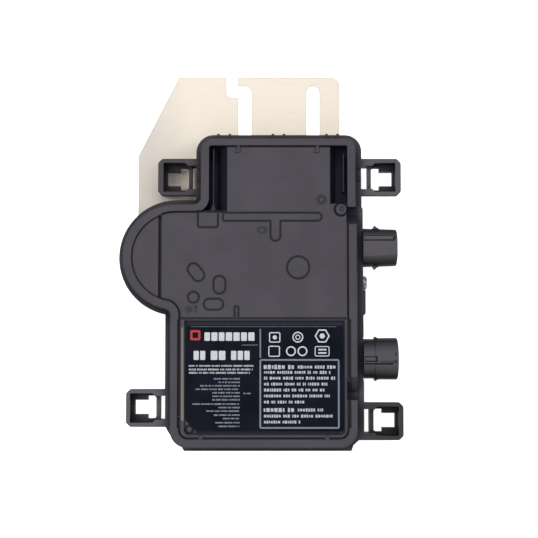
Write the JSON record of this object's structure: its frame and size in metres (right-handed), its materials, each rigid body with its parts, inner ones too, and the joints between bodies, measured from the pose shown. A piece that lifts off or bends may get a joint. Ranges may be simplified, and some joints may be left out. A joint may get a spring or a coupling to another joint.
{
  "type": "micro inverter",
  "caption": "Flat potted power inverter with a round side bulge, sunk rating label, round cable sockets on one side, open strap lugs and a slotted steel hanging plate.",
  "frame": {"origin": "bottom centre of the whole unit's bounding box, on the back face of the mounting plate", "axes": "+Z from the mounting plate towards the label, +Y towards the plate's slotted end, +X towards the cable sockets"},
  "size_m": [0.1904, 0.256, 0.0322],
  "materials": {
    "housing_plastic": "moulded, fine texture",
    "cover_plastic": "moulded, fine texture",
    "plate_steel": "brushed along X",
    "screw_steel": "plain zinc",
    "label_film": "printed film",
    "connector_plastic": "moulded, satin",
    "carrier_plastic": "moulded",
    "contact_metal": "plated",
    "seal_rubber": "moulded",
    "lens_plastic": "clear, slightly cloudy",
    "led_plastic": "moulded",
    "board_laminate": "solder mask",
    "ferrite": "ground",
    "copper_wire": "enamelled",
    "capacitor_can": "drawn",
    "film_case": "moulded",
    "chip_plastic": "moulded",
    "heat_aluminium": "cut bar",
    "pad_silicone": "soft",
    "varistor_coat": "dipped",
    "fuse_ceramic": "glazed",
    "potting_resin": "cast"
  },
  "bodies": {
    "root": {"rear_housing": "housing_plastic", "front_cover": "cover_plastic", "cover_seal": "seal_rubber", "mounting_plate": "plate_steel", "plate_screws": "screw_steel", "rating_label": "label_film", "ac_connector_shell": "connector_plastic", "ac_contact_carrier": "carrier_plastic", "ac_contact_pins": "contact_metal", "ac_seal_ring": "seal_rubber", "dc_connector_shell": "connector_plastic", "dc_contact_carrier": "carrier_plastic", "dc_contact_pins": "contact_metal", "dc_seal_ring": "seal_rubber", "status_light_lens": "lens_plastic", "status_led": "led_plastic", "circuit_board": "board_laminate", "board_screws": "screw_steel", "transformer_core": "ferrite", "transformer_winding": "copper_wire", "output_inductor": "ferrite", "input_capacitors": "capacitor_can", "film_capacitors": "film_case", "choke_core": "ferrite", "choke_windings": "copper_wire", "power_transistors": "chip_plastic", "heat_spreader": "heat_aluminium", "thermal_pad": "pad_silicone", "control_chips": "chip_plastic", "surge_varistors": "varistor_coat", "line_fuse": "fuse_ceramic", "signal_transformer": "ferrite", "potting_compound": "potting_resin"}
  },
  "joints": []
}
